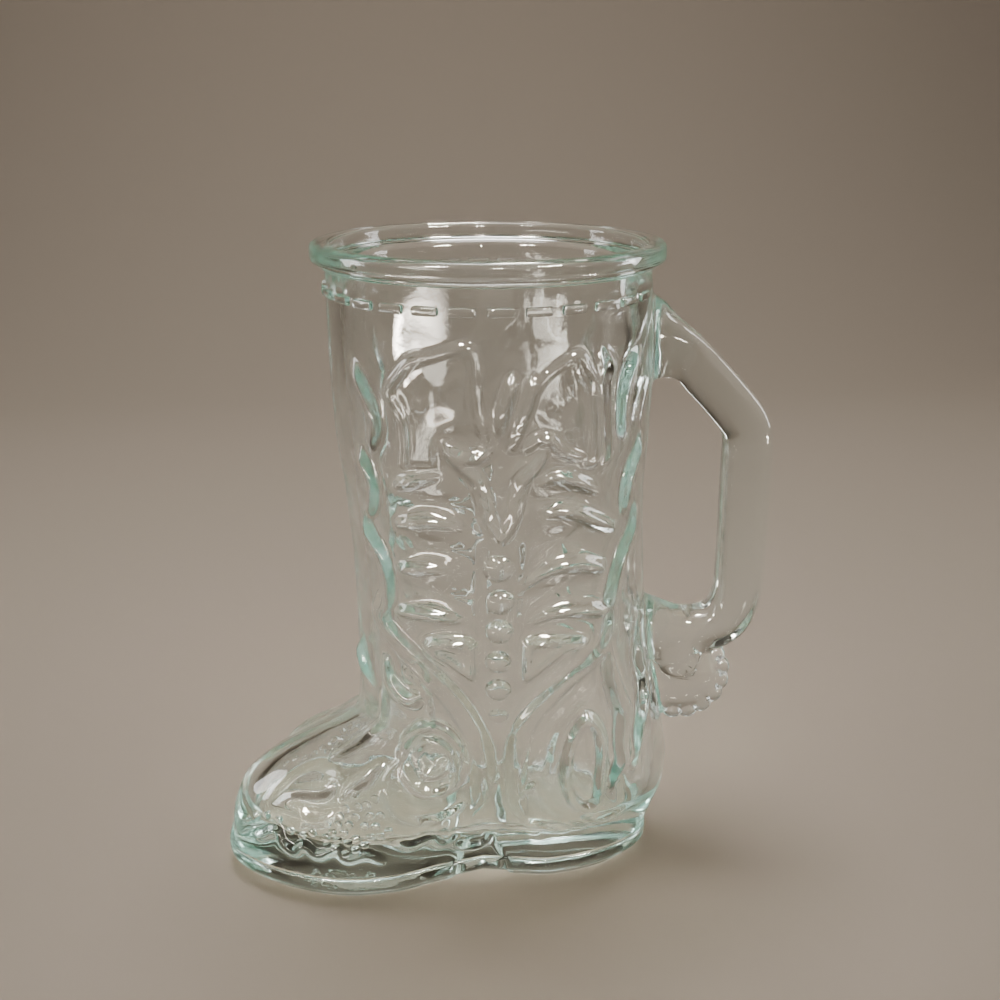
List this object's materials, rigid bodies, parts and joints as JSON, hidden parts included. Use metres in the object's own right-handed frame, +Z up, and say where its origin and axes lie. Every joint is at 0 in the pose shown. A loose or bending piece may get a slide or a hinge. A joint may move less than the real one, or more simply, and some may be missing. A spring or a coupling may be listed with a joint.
{
  "type": "beer boot glass",
  "caption": "Clear pressed-glass beer mug in the shape of a western boot, with a D-shaped handle that ends in a spur rowel at the heel.",
  "frame": {"origin": "on the table, under the middle of the mug's length and width", "axes": "+Z up along the leg of the boot, toe towards -X, handle and heel towards +X; the boot is mirrored across the plane Y = 0"},
  "size_m": [0.132, 0.076, 0.1524],
  "materials": {
    "glass": "clear soda-lime glass with a faint aqua tint, pressed and fire-polished"
  },
  "bodies": {
    "root": {"rim_lip": "glass", "boot_leg": "glass", "boot_foot": "glass", "outsole": "glass", "sole_pad": "glass", "heel_pad": "glass", "handle": "glass", "spur_rowel": "glass", "stitch_row": "glass", "raised_panels": "glass", "button_rows": "glass", "feather_ribs": "glass", "ankle_scrolls": "glass"}
  },
  "joints": []
}
